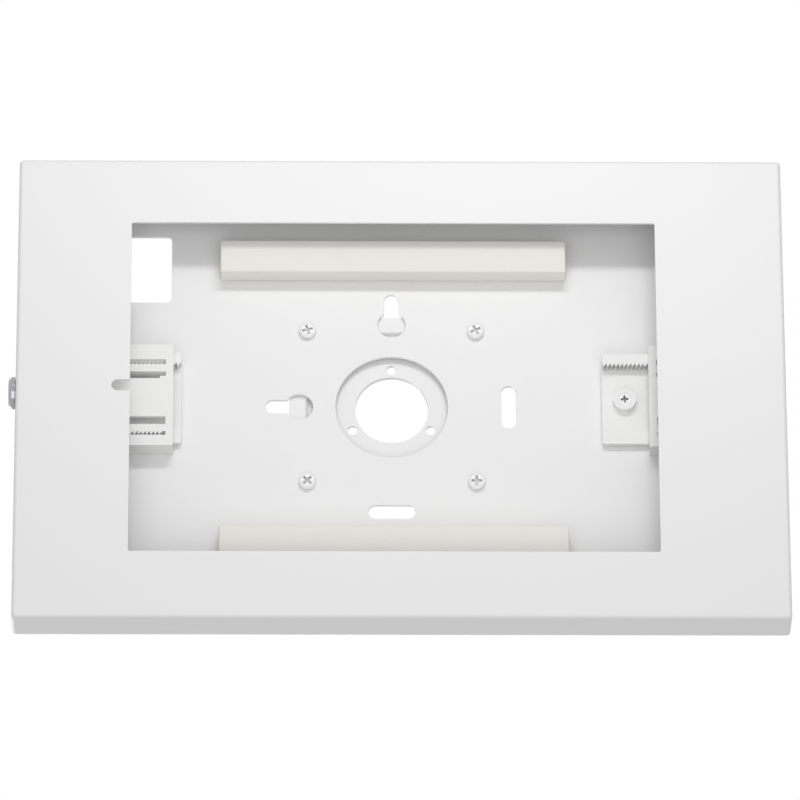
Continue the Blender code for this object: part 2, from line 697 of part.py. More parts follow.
def base_screws(side, steel):
    """Model the flat head screws that hold a base to the tray."""
    direction = -1.0 if side == "left" else 1.0
    wide, narrow, depth = sink_profile(0.0)
    rim = FIT_GAP
    profile = [
        (0.0, -BASE_SCREW_LENGTH),
        (narrow - 0.3 * MM, -BASE_SCREW_LENGTH),
        (narrow, -BASE_SCREW_LENGTH + 0.5 * MM),
        (narrow, -depth),
        (wide, 0.0),
        (wide - rim, 0.2 * MM),
        (0.0, 0.2 * MM),
    ]
    seat = FLOOR_Y - FIT_GAP - BASE_THICKNESS - BOSS_HEIGHT + FIT_GAP
    for number, place in enumerate(boss_places(), start=1):
        name = f"base_screw_{side}_{number}"
        screw = turned(name, profile, steel, ROUND - 8)
        location = (direction * (BASE_START + place), seat, BOSS_RISE)
        recess = cross_recess(name + "_recess", 1.0 * MM, 3.5 * MM, 0.2 * MM, 1.4 * MM)
        screw.location = location
        screw.rotation_euler = (math.pi / 2, 0.0, 0.0)
        recess.matrix_world = screw_matrix(location, BASE_SCREW_TURN)
        combine(screw, recess)
        smooth(screw)


def jaw_profile():
    """Return the jaw's section across its travel as (depth, height) points.

    Two sides reach down past the base's edges. Between them, under the skin,
    stand the pawl arm below the rack's teeth and the comb's arm.
    """
    return [
        (JAW_FRONT, JAW_LOW),
        (-FIT_GAP, JAW_LOW),
        (-FIT_GAP, JAW_LOW_INSIDE),
        (JAW_SKIN_REAR, JAW_LOW_INSIDE),
        (JAW_SKIN_REAR, COMB_TIP),
        (JAW_ARM_REAR, COMB_TIP),
        (JAW_ARM_REAR, -COMB_START),
        (JAW_SKIN_REAR, -COMB_START),
        (JAW_SKIN_REAR, PAWL_LOW),
        (JAW_ARM_REAR, PAWL_LOW),
        (JAW_ARM_REAR, PAWL_HIGH),
        (JAW_SKIN_REAR, PAWL_HIGH),
        (JAW_SKIN_REAR, JAW_HIGH_INSIDE),
        (-FIT_GAP, JAW_HIGH_INSIDE),
        (-FIT_GAP, JAW_HIGH),
        (JAW_FRONT, JAW_HIGH),
    ]


def jaw_slots():
    """Return the jaw's slots through its skin and the cuts that free its arms' ends."""
    sight = box_outline((JAW_BAR, PAWL_HIGH), (JAW_SLOT_END, PAWL_HIGH + PAWL_SIGHT_GAP))
    step = PAWL_LOW - PAWL_SPRING_GAP + PAWL_STEP_HEIGHT
    spring = [
        (JAW_BAR, PAWL_LOW),
        (JAW_BAR, step),
        (JAW_BAR + PAWL_STEP_LENGTH, step),
        (JAW_BAR + PAWL_STEP_LENGTH, PAWL_LOW - PAWL_SPRING_GAP),
        (JAW_SLOT_END, PAWL_LOW - PAWL_SPRING_GAP),
        (JAW_SLOT_END, PAWL_LOW),
    ]
    comb_spring = box_outline((JAW_BAR, -COMB_START), (JAW_SLOT_END, -COMB_START + COMB_SPRING_GAP))
    free = JAW_SLOT_END - JAW_RELEASE_GAP
    pawl_end = box_outline((free, PAWL_LOW - OVERRUN), (JAW_SLOT_END, PAWL_HIGH + OVERRUN))
    comb_end = box_outline((free, COMB_TIP), (JAW_SLOT_END, -COMB_START + OVERRUN))
    return [sight, spring, comb_spring], [pawl_end, comb_end]


def comb_outline(side):
    """Return the cut below the comb's arm, which leaves saw teeth like the rack's."""
    start, end = sorted(u for u, v in outwards(side, [(JAW_BAR, 0.0), (JAW_SLOT_END, 0.0)]))
    gap = COMB_TIP - FIT_GAP
    outline = [(start, gap), (start, COMB_ROOT)]
    outline += saw_teeth(start, end, COMB_ROOT)
    outline += [(end, COMB_ROOT), (end, gap)]
    return outline


def adjuster_jaw(side, plastic):
    """Model a jaw, measured from the inner face of its end bar."""
    name = "adjuster_jaw_" + side
    direction = -1.0 if side == "left" else 1.0
    rest = JAW_REST_LEFT if side == "left" else JAW_REST_RIGHT
    jaw = prism(name, [jaw_profile()], "X", 0.0, direction * JAW_LENGTH, plastic)
    tongues = guide_outlines(BASE_GROOVE_HEIGHT - 2 * FIT_GAP, FIT_GAP, JAW_HIGH_SIDE / 2)
    ends = (direction * RACK_INSET, direction * (JAW_LENGTH - RACK_INSET))
    guides = prism(name + "_tongues", tongues, "X", *ends)
    top = JAW_FRONT - STOP_HEIGHT
    root = JAW_FRONT + JAW_SKIN / 2
    back = JAW_LENGTH - RACK_INSET
    front = back - STOP_THICKNESS
    wall = [(front, root), (back, root), (back, top), (front + STOP_THICKNESS / 2, top)]
    wall += [(front, top + STOP_THICKNESS / 2)]
    stop = prism(name + "_stop", [outwards(side, wall)], "Z", JAW_LOW + RACK_INSET, JAW_HIGH - RACK_INSET)
    windows, releases = jaw_slots()
    front_side = JAW_FRONT - OVERRUN
    inside = JAW_SKIN_REAR + FIT_GAP / 2
    tools = [
        prism(name + "_slots", [outwards(side, outline) for outline in windows], "Y", front_side, inside),
        prism(name + "_comb", [comb_outline(side)], "Y", front_side, 0.0),
        prism(name + "_releases", [outwards(side, outline) for outline in releases], "Y", front_side, 0.0),
    ]
    combine(jaw, guides, "UNION")
    combine(jaw, stop, "UNION")
    for tool in tools:
        combine(jaw, tool)
    for item in [jaw, guides, stop] + tools:
        item.location = (direction * (BASE_START + rest), FLOOR_Y, 0.0)
    smooth(jaw)


def tray_leaf_outline():
    """Return the section of the tray's hinge leaf with its knuckle, round the pin."""
    wall = TRAY_RIGHT + FIT_GAP - HINGE_X
    front = -HINGE_RADIUS - HINGE_LEAF_WIDTH + HINGE_RADIUS
    under = -HINGE_RADIUS + HINGE_LEAF
    meet = math.degrees(math.asin(under / HINGE_RADIUS))
    outline = [(wall, front), (wall + HINGE_LEAF, front), (wall + HINGE_LEAF, -HINGE_RADIUS)]
    outline += arc((0.0, 0.0), HINGE_RADIUS, -90.0, 180.0 - meet, ROUND)
    outline += [(wall, under)]
    plate = [(wall, front), (wall + HINGE_LEAF, front), (wall + HINGE_LEAF, under), (wall, under)]
    return outline, plate


def cover_leaf_outline():
    """Return the section of the cover's hinge leaf with its knuckle, round the pin."""
    inner = HINGE_RADIUS - HINGE_LEAF
    meet = math.degrees(math.acos(inner / HINGE_RADIUS))
    outline = [(HINGE_RADIUS, -HINGE_LEAF_WIDTH), (inner, -HINGE_LEAF_WIDTH)]
    outline += arc((0.0, 0.0), HINGE_RADIUS, -meet, -360.0, ROUND)
    clear = -HINGE_RADIUS - HINGE_KNUCKLE_GAP
    plate = [(HINGE_RADIUS, -HINGE_LEAF_WIDTH), (inner, -HINGE_LEAF_WIDTH), (inner, clear), (HINGE_RADIUS, clear)]
    return outline, plate


def hinge(level, height, steel, frame):
    """Model one butt hinge: a leaf on the tray, a leaf on the cover and the pin."""
    half = HINGE_LENGTH / 2
    middle = HINGE_KNUCKLE / 2
    outer = middle + HINGE_KNUCKLE_GAP
    bore = circle((0.0, 0.0), HINGE_PIN_DIAMETER / 2 + FIT_GAP, ROUND // 2)
    place = Vector((HINGE_X, HINGE_Y, height))

    outline, plate = tray_leaf_outline()
    tray_leaf = prism("tray_hinge_leaf_" + level, [plate], "Z", -half, half, steel)
    knuckles = [
        prism("tray_knuckle_high_" + level, [outline], "Z", outer, half - RACK_INSET),
        prism("tray_knuckle_low_" + level, [outline], "Z", -half + RACK_INSET, -outer),
    ]
    tray_bore = prism("tray_hinge_bore_" + level, [bore], "Z", -half - OVERRUN, half + OVERRUN)
    for item in knuckles:
        combine(tray_leaf, item, "UNION")
    combine(tray_leaf, tray_bore)

    outline, plate = cover_leaf_outline()
    cover_leaf = prism("cover_hinge_leaf_" + level, [plate], "Z", -half, half, steel)
    cover_knuckle = prism("cover_knuckle_" + level, [outline], "Z", -middle, middle)
    cover_bore = prism("cover_hinge_bore_" + level, [bore], "Z", -half, half)
    combine(cover_leaf, cover_knuckle, "UNION")
    combine(cover_leaf, cover_bore)

    radius = HINGE_PIN_DIAMETER / 2
    end = half + FIT_GAP
    head = HINGE_PIN_HEAD / 2
    pin = turned("hinge_pin_" + level, [
        (0.0, -end - HINGE_PIN_HEAD_HEIGHT),
        (head * 0.7, -end - HINGE_PIN_HEAD_HEIGHT),
        (head, -end - HINGE_PIN_HEAD_HEIGHT * 0.4),
        (head, -end),
        (radius, -end),
        (radius, end),
        (head, end),
        (head, end + HINGE_PIN_HEAD_HEIGHT * 0.4),
        (head * 0.7, end + HINGE_PIN_HEAD_HEIGHT),
        (0.0, end + HINGE_PIN_HEAD_HEIGHT),
    ], steel, ROUND // 2)

    for item in [tray_leaf, tray_bore, pin] + knuckles:
        item.location = place
    for item in (cover_leaf, cover_knuckle, cover_bore):
        item.location = place
        hang(item, frame)
    for item in (tray_leaf, cover_leaf, pin):
        smooth(item)


def lock_pieces(chrome, steel, cover_frame, lock_frame):
    """Model the cam lock: body, nut, turning core, cam and the cam's screw."""
    place = (COVER_LEFT, LOCK_Y, 0.0)
    head = LOCK_HEAD_DIAMETER / 2
    shank = LOCK_BODY_DIAMETER / 2
    bore = LOCK_CORE_DIAMETER / 2 + FIT_GAP
    face = -LOCK_HEAD_HEIGHT
    body = turned("lock_body", [
        (bore, face),
        (head - LOCK_HEAD_CHAMFER, face),
        (head, face + LOCK_HEAD_CHAMFER),
        (head, -FIT_GAP),
        (shank, -FIT_GAP),
        (shank, LOCK_BODY_LENGTH),
        (bore, LOCK_BODY_LENGTH),
    ], chrome, FINE_ROUND)

    nut_start = COVER_SHEET + FIT_GAP
    corner = LOCK_NUT_FLATS / 2 / math.cos(math.pi / 6)
    nut = prism("lock_nut", [circle((0.0, 0.0), corner, 6)], "Z", nut_start, nut_start + LOCK_NUT_THICKNESS, steel)
    nut_hole = circle((0.0, 0.0), shank + FIT_GAP)
    nut_bore = prism("lock_nut_bore", [nut_hole], "Z", 0.0, nut_start + LOCK_NUT_THICKNESS + OVERRUN)
    combine(nut, nut_bore)

    core_radius = LOCK_CORE_DIAMETER / 2
    core_end = LOCK_BODY_LENGTH + FIT_GAP
    tail_end = core_end + FIT_GAP + CAM_THICKNESS
    tail = LOCK_TAIL_DIAMETER / 2
    thread = CAM_SCREW_DIAMETER / 2 + FIT_GAP
    core = turned("lock_core", [
        (0.0, face + LOCK_CORE_RECESS),
        (core_radius, face + LOCK_CORE_RECESS),
        (core_radius, core_end),
        (tail, core_end),
        (tail, tail_end),
        (thread, tail_end),
        (thread, core_end - CAM_THICKNESS),
        (0.0, core_end - CAM_THICKNESS),
    ], chrome)
    wide, thin = KEYWAY_LENGTH / 2, KEYWAY_WIDTH / 2
    slit = [(-thin, -wide), (thin, -wide), (thin, wide), (-thin, wide)]
    keyway = prism("lock_keyway", [slit], "Z", face - OVERRUN, face + KEYWAY_DEPTH)
    combine(core, keyway)

    hub = CAM_HUB_DIAMETER / 2
    arm = CAM_WIDTH / 2
    join = math.degrees(math.asin(arm / hub))
    outline = arc((0.0, CAM_REACH - arm), arm, 0.0, 180.0, ROUND // 4)
    outline += arc((0.0, 0.0), hub, 90.0 + join, 450.0 - join, ROUND - 8)
    cam_start = core_end + FIT_GAP
    cam = prism("lock_cam", [outline], "Z", cam_start, cam_start + CAM_THICKNESS, steel)
    cam_hole = circle((0.0, 0.0), tail + FIT_GAP, ROUND // 2)
    cam_bore = prism("lock_cam_bore", [cam_hole], "Z", cam_start - OVERRUN, cam_start + OVERRUN)
    combine(cam, cam_bore)

    seat = cam_start + CAM_THICKNESS + FIT_GAP
    length = seat - core_end + CAM_THICKNESS - FIT_GAP
    profile = pan_head_profile(CAM_SCREW_HEAD, CAM_SCREW_HEAD_HEIGHT, CAM_SCREW_DIAMETER, length)
    screw = turned("cam_screw", [(radius, seat + level) for radius, level in profile], steel, ROUND - 8)
    recess = cross_recess("cam_screw_recess", 0.9 * MM, 3.4 * MM, seat + CAM_SCREW_HEAD_HEIGHT, 1.0 * MM)
    combine(screw, recess)

    for item in (body, nut, nut_bore, core, keyway, cam, cam_bore, screw, recess):
        item.location = place
        item.rotation_euler = (0.0, math.pi / 2, 0.0)
    for item in (body, nut, nut_bore):
        hang(item, cover_frame)
    for item in (core, keyway, cam, cam_bore, screw, recess):
        hang(item, lock_frame)
    for item in (body, core, cam, screw):
        smooth(item)


def lock_catch(steel):
    """Model the folded hook on the tray that the turned cam reaches behind."""
    cam_middle = COVER_LEFT + LOCK_BODY_LENGTH + 2 * FIT_GAP + CAM_THICKNESS / 2
    foot_rear = FLOOR_Y - FIT_GAP
    lip_rear = LOCK_Y - CAM_WIDTH / 2 - CATCH_CLEARANCE
    leg = CATCH_LIP_START + CATCH_LIP_LENGTH
    foot = leg + CATCH_FOOT_LENGTH - CATCH_SHEET
    outline = [
        (lip_rear, CATCH_LIP_START),
        (lip_rear, leg - CATCH_SHEET),
        (foot_rear, leg - CATCH_SHEET),
        (foot_rear, foot),
        (foot_rear - CATCH_SHEET, foot),
        (foot_rear - CATCH_SHEET, leg),
        (lip_rear - CATCH_SHEET, leg),
        (lip_rear - CATCH_SHEET, CATCH_LIP_START),
    ]
    half = CATCH_WIDTH / 2
    prism("lock_catch", [outline], "X", cam_middle - half, cam_middle + half, steel)


def build():
    """Build every piece of the wall mount."""
    clear_scene()
    white_steel = finish("white_powder_coat", (0.86, 0.86, 0.86), 0.45, 0.0)
    white_screw = finish("white_screw", (0.9, 0.9, 0.9), 0.35, 0.0)
    white_plastic = finish("white_plastic", (0.84, 0.84, 0.83), 0.5, 0.0)
    cream_foam = finish("cream_foam", (0.82, 0.79, 0.72), 0.95, 0.0)
    zinc = finish("zinc_steel", (0.62, 0.62, 0.64), 0.35, 1.0)
    chrome = finish("chrome_lock", (0.7, 0.7, 0.74), 0.15, 1.0)

    cover_frame = empty("cover_hinge_line", (HINGE_X, HINGE_Y, 0.0))
    lock_frame = empty("lock_axis", (COVER_LEFT, LOCK_Y, 0.0))

    wall_plate(white_steel)
    back_tray(white_steel)
    tray_screws(white_screw)
    front_cover(white_steel, cover_frame)
    foam_pads(cream_foam)
    for side in ("left", "right"):
        adjuster_base(side, white_plastic)
        base_screws(side, white_screw)
        adjuster_jaw(side, white_plastic)
    hinge("upper", HINGE_DISTANCE, zinc, cover_frame)
    hinge("lower", -HINGE_DISTANCE, zinc, cover_frame)
    lock_pieces(chrome, zinc, cover_frame, lock_frame)
    lock_catch(zinc)


build()
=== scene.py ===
"""Looks of a lockable tablet wall mount: finishes, foam pads, studio and camera.

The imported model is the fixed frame, in metres, with +Z up and the viewer on the
-Y side. Each operator finishes one group of pieces, and the last one sets the stage.
"""
import json
import math

import bpy
from bpy.props import FloatProperty, FloatVectorProperty, PointerProperty
from mathutils import Matrix, Vector

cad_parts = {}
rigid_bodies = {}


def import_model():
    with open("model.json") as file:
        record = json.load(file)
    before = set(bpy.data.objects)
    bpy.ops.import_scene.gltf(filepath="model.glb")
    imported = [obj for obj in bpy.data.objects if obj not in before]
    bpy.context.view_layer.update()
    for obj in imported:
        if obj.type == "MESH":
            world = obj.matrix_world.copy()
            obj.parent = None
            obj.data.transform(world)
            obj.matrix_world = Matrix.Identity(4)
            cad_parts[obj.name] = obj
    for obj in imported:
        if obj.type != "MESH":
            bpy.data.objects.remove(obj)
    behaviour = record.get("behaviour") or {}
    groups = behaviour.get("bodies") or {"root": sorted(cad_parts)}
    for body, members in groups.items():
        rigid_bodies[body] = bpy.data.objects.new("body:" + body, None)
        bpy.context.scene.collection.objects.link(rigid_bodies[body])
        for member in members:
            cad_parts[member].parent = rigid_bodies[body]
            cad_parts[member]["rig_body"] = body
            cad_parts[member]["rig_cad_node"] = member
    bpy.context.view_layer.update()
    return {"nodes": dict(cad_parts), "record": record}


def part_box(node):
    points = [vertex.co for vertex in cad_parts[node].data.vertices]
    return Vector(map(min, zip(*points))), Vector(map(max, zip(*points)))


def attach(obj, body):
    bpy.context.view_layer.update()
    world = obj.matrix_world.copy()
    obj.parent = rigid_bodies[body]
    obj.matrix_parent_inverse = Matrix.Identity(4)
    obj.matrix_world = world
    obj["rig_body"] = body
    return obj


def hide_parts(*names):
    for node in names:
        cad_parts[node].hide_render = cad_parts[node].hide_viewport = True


bl_info = {
    "name": "Tablet wall mount looks",
    "version": (1, 0, 0),
    "blender": (4, 5, 0),
    "location": "View3D > Sidebar > Wall Mount",
    "description": "Finishes a packed tablet wall mount and lights it",
    "category": "Object",
}

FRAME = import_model()
MM = 0.001
X_AXIS, Z_AXIS = 0, 2

BODY_OF = {
    node: body for body, nodes in FRAME["record"]["behaviour"]["bodies"].items() for node in nodes
}
SLOT_OF = {part["node"]: part["material_slot"] for part in FRAME["record"]["subparts"]}

COATED_PIECES = ("front_cover", "back_tray", "wall_plate")
PAN_SCREWS = tuple(sorted(node for node in BODY_OF if node.startswith("tray_screw_")))
FLAT_SCREWS = tuple(sorted(node for node in BODY_OF if node.startswith("base_screw_")))
ADJUSTERS = tuple(sorted(node for node in BODY_OF if node.startswith("adjuster_")))
FOAM_PADS = ("foam_pad_upper", "foam_pad_lower")
CHROME_PIECES = ("lock_body", "lock_core")
ZINC_PIECES = tuple(sorted(node for node, slot in SLOT_OF.items() if slot == "zinc_steel"))

# How a CAD node's loose triangles become a clean mesh: the widest gap that is merged, the
# turn under which faces are joined, and the turns past which an edge is bevelled or sharp.
MERGE_GAP = 0.002 * MM
FLAT_ANGLE = math.radians(0.4)
SHARP_ANGLE = math.radians(32.0)
SMOOTH_ANGLE = math.radians(30.0)
FLAT_FACE_WEIGHT = 80

# A face looks along an axis when its normal's part on that axis is past this.
FACING = 0.5

# Between these heights lie the flanks of the teeth on both rails, whose darker plastic is painted
# shade.
TEETH_LOW = 16.7 * MM
TEETH_HIGH = 18.4 * MM

# Faces of a cross recess lie within this reach of the screw's axis and no deeper than this.
# Its level faces are also deeper than RECESS_FLOOR, which leaves out the top of the head.
RECESS_REACH = 2.5 * MM
RECESS_DEPTH = 1.75 * MM
RECESS_FLOOR = 0.85 * MM

# The pads' rounded edges, the cuts that let their faces bend, and the shape of the crown.
FOAM_EDGE_SEGMENTS = 4
FOAM_CELLS_ALONG = 32
FOAM_CELLS_ACROSS = 6
FOAM_SMOOTH_ANGLE = math.radians(60.0)
CROWN_ACROSS, CROWN_ACROSS_POWER = 0.7, 4
CROWN_ALONG, CROWN_ALONG_POWER = 0.3, 12

# The pads' pores: the painted shade in their middles, and how much of the relief the wide and the
# fine ones make.
PORE_SHADE_TINT = (0.965, 0.96, 0.95)
PORE_SHARE = 0.7
FINE_PORE_SHARE = 0.3

# Waves, or pores, per metre in the finishes' soft random fields.
COAT_DRIFT = 9.0
COAT_PEEL = 520.0
COAT_GRAIN = 2600.0
ENAMEL_RUN = 700.0
RECESS_FILM = 1500.0
PLASTIC_FLOW = 60.0
PLASTIC_GRAIN = 4200.0
FOAM_PORES = 1500.0
FOAM_FINE_PORES = 3200.0
FOAM_MOTTLE = 120.0
CHROME_SMEAR = 240.0
CHROME_RIPPLE = 420.0
ZINC_CLOUD = 340.0

# Heights of the finishes' relief, the coat's grain as a share of its peel.
COAT_GRAIN_SHARE = 0.22
ENAMEL_RELIEF = 0.02 * MM
RECESS_RELIEF = 0.03 * MM
PLASTIC_RELIEF = 0.012 * MM
FOAM_RELIEF = 0.06 * MM
CHROME_RELIEF = 0.01 * MM
ZINC_RELIEF = 0.02 * MM

# Rays that a Bevel node sends out where it softens a corner.
CORNER_SAMPLES = 6

# Sockets of a Mix node that blends colours.
MIX_FACTOR, MIX_LOW, MIX_HIGH, MIX_RESULT = 0, 6, 7, 2

# The stage: the floor and the camera's clipping in metres, its sensor in millimetres.
WHITE = (1.0, 1.0, 1.0)
WHITE_STRENGTH = 1.0
FLOOR_COLOUR = (0.9, 0.9, 0.9)
FLOOR_ROUGHNESS = 0.9
FLOOR_SIZE = 14.0
SENSOR_WIDTH = 36.0
CLIP_START = 0.1
CLIP_END = 60.0


class MountFinishes(bpy.types.PropertyGroup):
    """Colours, gloss and edge sizes of the mount's pieces."""

    coat_colour: FloatVectorProperty(
        name="Coat colour",
        description="White of the powder-coated steel",
        subtype="COLOR",
        default=(0.87, 0.87, 0.87),
    )
    coat_roughness: FloatProperty(
        name="Coat roughness",
        description="Satin gloss of the powder coat",
        subtype="FACTOR",
        default=0.42,
    )
    coat_peel: FloatProperty(
        name="Coat peel",
        description="Height of the powder coat's soft ripple",
        subtype="DISTANCE",
        unit="LENGTH",
        default=0.016 * MM,
    )
    sheet_edge: FloatProperty(
        name="Sheet edge",
        description="Rounding of the coated sheet's cut edges",
        subtype="DISTANCE",
        unit="LENGTH",
        default=0.2 * MM,
    )
    screw_colour: FloatVectorProperty(
        name="Screw colour",
        description="White enamel of the screw heads",
        subtype="COLOR",
        default=(0.96, 0.96, 0.96),
    )
    # Painted shade: the recess colours are darker than the heads, for the shade in the cross
    # recesses.
    pan_recess: FloatVectorProperty(
        name="Pan head recess",
        description="Colour inside the pan heads' cross recesses",
        subtype="COLOR",
        default=(0.8, 0.8, 0.81),
    )
    flat_recess: FloatVectorProperty(
        name="Flat head recess",
        description="Colour inside the flat heads' cross recesses",
        subtype="COLOR",
        default=(0.38, 0.4, 0.44),
    )
    screw_edge: FloatProperty(
        name="Screw edge",
        description="Radius that the screws' edges seem to have",
        subtype="DISTANCE",
        unit="LENGTH",
        default=0.12 * MM,
    )
    plastic_colour: FloatVectorProperty(
        name="Plastic colour",
        description="White of the moulded adjusters",
        subtype="COLOR",
        default=(0.9, 0.9, 0.895),
    )
    # Painted shade: this factor darkens the plastic on the teeth's flanks, for the shade in their
    # deep gaps.
    tooth_painted_shade: FloatProperty(
        name="Tooth shade",
        description="How white the flanks of the rail's teeth are, to stand for deeper gaps",
        subtype="FACTOR",
        default=0.72,
    )
    plastic_edge: FloatProperty(
        name="Moulded edge",
        description="Radius that the adjusters' edges seem to have",
        subtype="DISTANCE",
        unit="LENGTH",
        default=0.14 * MM,
    )
    foam_colour: FloatVectorProperty(
        name="Foam colour",
        description="Cream of the foam pads",
        subtype="COLOR",
        default=(0.91, 0.885, 0.845),
    )
    foam_edge: FloatProperty(
        name="Foam edge",
        description="Rounding of the pads' cut edges",
        subtype="DISTANCE",
        unit="LENGTH",
        default=0.8 * MM,
    )
    foam_crown: FloatProperty(
        name="Foam crown",
        description="How far the middle of a pad's face stands above its edges",
        subtype="DISTANCE",
        unit="LENGTH",
        default=0.25 * MM,
    )
    lock_edge: FloatProperty(
        name="Lock edge",
        description="Rounding of the lock's edges",
        subtype="DISTANCE",
        unit="LENGTH",
        default=0.12 * MM,
    )
    chrome_colour: FloatVectorProperty(
        name="Chrome colour",
        description="Tint of the polished lock",
        subtype="COLOR",
        default=(0.4, 0.39, 0.43),
    )
    zinc_colour: FloatVectorProperty(
        name="Zinc colour",
        description="Tint of the zinc-plated fittings",
        subtype="COLOR",
        default=(0.62, 0.63, 0.66),
    )
    zinc_edge: FloatProperty(
        name="Zinc edge",
        description="Rounding of the zinc-plated fittings' edges",
        subtype="DISTANCE",
        unit="LENGTH",
        default=0.1 * MM,
    )


class StudioSetup(bpy.types.PropertyGroup):
    """The photograph's view and the studio's light."""

    lens: FloatProperty(
        name="Lens",
        description="Focal length on a 36 mm sensor",
        subtype="DISTANCE_CAMERA",
        default=376.07,
    )
    view_distance: FloatProperty(
        name="View distance",
        description="From the camera to the point it looks at",
        subtype="DISTANCE",
        unit="LENGTH",
        default=3.717,
    )
    view_pitch: FloatProperty(
        name="View pitch",
        description="How steeply the camera looks up",
        subtype="ANGLE",
        unit="ROTATION",
        default=math.radians(26.93),
    )
    view_yaw: FloatProperty(
        name="View yaw",
        description="How far the camera looks to the right",
        subtype="ANGLE",
        unit="ROTATION",
        default=math.radians(0.80),
    )
    view_roll: FloatProperty(
        name="View roll",
        description="Tilt of the camera about its line of sight",
        subtype="ANGLE",
        unit="ROTATION",
        default=math.radians(-0.23),
    )
    view_target: FloatVectorProperty(
        name="View target",
        description="Point on the tray's floor in the middle of the frame",
        subtype="TRANSLATION",
        unit="LENGTH",
        default=(3.7 * MM, -5.2 * MM, 3.5 * MM),
    )
    key_power: FloatProperty(
        name="Key power",
        description="Power of the soft light above and in front of the mount",
        subtype="POWER",
        unit="POWER",
        default=1.04,
    )
    key_distance: FloatProperty(
        name="Key distance",
        description="From the key light to the mount",
        subtype="DISTANCE",
        unit="LENGTH",
        default=0.61,
    )
    key_width: FloatProperty(
        name="Key width",
        description="Width of the key light",
        subtype="DISTANCE",
        unit="LENGTH",
        default=0.4,
    )
    key_height: FloatProperty(
        name="Key height",
        description="Height of the key light",
        subtype="DISTANCE",
        unit="LENGTH",
        default=0.08,
    )
    key_elevation: FloatProperty(
        name="Key elevation",
        description="Height of the key light above the horizon",
        subtype="ANGLE",
        unit="ROTATION",
        default=math.radians(34.5),
    )
    key_turn: FloatProperty(
        name="Key turn",
        description="How far the key light stands to the right",
        subtype="ANGLE",
        unit="ROTATION",
        default=math.radians(4.0),
    )
    bounce_power: FloatProperty(
        name="Bounce power",
        description="Power of the broad light that comes up from in front",
        subtype="POWER",
        unit="POWER",
        default=13.7,
    )
    bounce_distance: FloatProperty(
        name="Bounce distance",
        description="From the bounce light to the mount",
        subtype="DISTANCE",
        unit="LENGTH",
        default=2.0,
    )
    bounce_width: FloatProperty(
        name="Bounce width",
        description="Width of the bounce light",
        subtype="DISTANCE",
        unit="LENGTH",
        default=2.2,
    )
    bounce_height: FloatProperty(
        name="Bounce height",
        description="Height of the bounce light",
        subtype="DISTANCE",
        unit="LENGTH",
        default=1.8,
    )
    bounce_elevation: FloatProperty(
        name="Bounce elevation",
        description="Height of the bounce light above the horizon",
        subtype="ANGLE",
        unit="ROTATION",
        default=math.radians(-34.0),
    )
    back_power: FloatProperty(
        name="Back power",
        description="Power of the long light behind the mount",
        subtype="POWER",
        unit="POWER",
        default=13.0,
    )
    back_distance: FloatProperty(
        name="Back distance",
        description="From the back light to the mount",
        subtype="DISTANCE",
        unit="LENGTH",
        default=2.0,
    )
    back_width: FloatProperty(
        name="Back width",
        description="Width of the back light",
        subtype="DISTANCE",
        unit="LENGTH",
        default=1.6,
    )
    back_height: FloatProperty(
        name="Back height",
        description="Height of the back light",
        subtype="DISTANCE",
        unit="LENGTH",
        default=0.4,
    )
    back_elevation: FloatProperty(
        name="Back elevation",
        description="Height of the back light above the horizon",
        subtype="ANGLE",
        unit="ROTATION",
        default=math.radians(-2.0),
    )
    back_turn: FloatProperty(
        name="Back turn",
        description="How far round to the left and behind the back light stands",
        subtype="ANGLE",
        unit="ROTATION",
        default=math.radians(-165.0),
    )
    floor_glow: FloatProperty(
        name="Floor glow",
        description="How much paler the floor looks than the light on it makes it",
        subtype="FACTOR",
        default=0.4,
    )
    sky_strength: FloatProperty(
        name="Sky strength",
        description="Level of the even light from all round",
        default=0.47,
    )
    floor_drop: FloatProperty(
        name="Floor drop",
        description="Height of the mount's middle above the floor",
        subtype="DISTANCE",
        unit="LENGTH",
        default=3.0,
    )


class Reading:
    """A value in a node tree. Arithmetic on it adds Math nodes."""

    def __init__(self, tree, socket):
        self.tree = tree
        self.socket = socket

    def math(self, operation, left, right):
        """Return the outcome of one Math node."""
        return self.tree.add("ShaderNodeMath", {"operation": operation}, {0: left, 1: right})

    def __add__(self, other):
        return self.math("ADD", self, other)

    def __radd__(self, other):
        return self.math("ADD", other, self)

    def __sub__(self, other):
        return self.math("SUBTRACT", self, other)

    def __rsub__(self, other):
        return self.math("SUBTRACT", other, self)

    def __mul__(self, other):
        return self.math("MULTIPLY", self, other)

    def __rmul__(self, other):
        return self.math("MULTIPLY", other, self)

    def greater(self, other):
        """Return the greater of this value and another."""
        return self.math("MAXIMUM", self, other)


class Tree:
    """The nodes of a material or of the world, added one by one."""

    def __init__(self, owner):
        owner.use_nodes = True
        self.nodes = owner.node_tree.nodes
        self.links = owner.node_tree.links

    def feed(self, socket, value):
        """Link a reading to a socket, or write a plain value there."""
        if isinstance(value, Reading):
            self.links.new(value.socket, socket)
        elif socket.type == "RGBA":
            socket.default_value = (*value, 1.0)
        else:
            socket.default_value = value

    def add(self, kind, settings=None, sockets=None, output=0):
        """Add a node, set it up and return one of its outputs."""
        node = self.nodes.new(kind)
        for key, value in (settings or {}).items():
            setattr(node, key, value)
        for key, value in (sockets or {}).items():
            self.feed(node.inputs[key], value)
        return Reading(self, node.outputs[output])

    def background_seen(self):
        """Return 1 for rays from the camera, a glossy surface or glass, else 0."""
        direct = self.add("ShaderNodeLightPath", output="Is Camera Ray")
        mirrored = self.add("ShaderNodeLightPath", output="Is Glossy Ray")
        through = self.add("ShaderNodeLightPath", output="Is Transmission Ray")
        return (direct + mirrored).greater(through)


